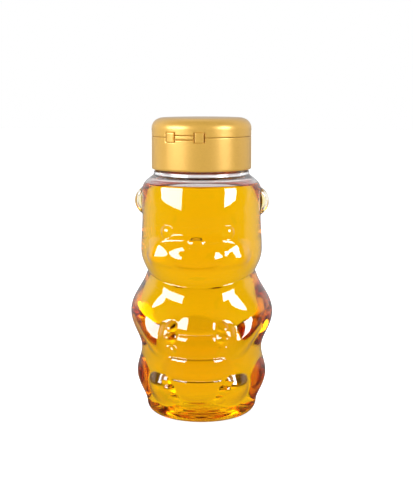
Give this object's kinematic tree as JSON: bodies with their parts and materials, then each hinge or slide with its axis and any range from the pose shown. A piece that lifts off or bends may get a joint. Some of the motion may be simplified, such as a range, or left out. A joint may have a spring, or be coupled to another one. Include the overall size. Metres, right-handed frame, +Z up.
{
  "type": "honey bear bottle",
  "caption": "Clear bear-shaped squeeze bottle filled with amber honey, closed by a gold screw cap with a flip-top lid on a snap hinge.",
  "frame": {"origin": "centre of the standing ring, on the floor, on the neck's axis", "axes": "+Z up along the neck's axis, -Y out of the bear's face, +X to the right of someone who faces the bear"},
  "size_m": [0.0588, 0.0566, 0.1217],
  "materials": {
    "clear_pet": "clear blown PET, glossy, with a faint mould seam",
    "honey": "clear amber honey",
    "liner_foam": "white foamed polyethylene with a smooth face",
    "gold_cap": "polypropylene with a satin metallic gold finish"
  },
  "bodies": {
    "bottle": {"bottle": "clear_pet", "honey": "honey"},
    "liner": {"seal_liner": "liner_foam"},
    "cap": {"cap_base": "gold_cap"},
    "lid": {"lid": "gold_cap", "hinge_film": "gold_cap", "snap_strap_left": "gold_cap", "snap_strap_right": "gold_cap"}
  },
  "joints": [
    {"name": "cap_lift", "type": "slide", "parent": "bottle", "child": "liner", "axis": [0, 0, 1], "range_m": [0, 0.0127]},
    {"name": "cap_turn", "type": "hinge", "parent": "liner", "child": "cap", "pos_m": [0, 0, 0.1124], "axis": [0, 0, 1], "range_deg": [0, 1080]},
    {"name": "lid_flip", "type": "hinge", "parent": "cap", "child": "lid", "pos_m": [-0.00546, -0.01997, 0.1142], "axis": [0.9646, -0.2639, 0], "range_deg": [0, 180], "deforming": ["hinge_film", "snap_strap_left", "snap_strap_right"]}
  ],
  "couplings": [
    {"joint": "cap_lift", "follows": "cap_turn", "m_per_rad": 0.00067375}
  ]
}
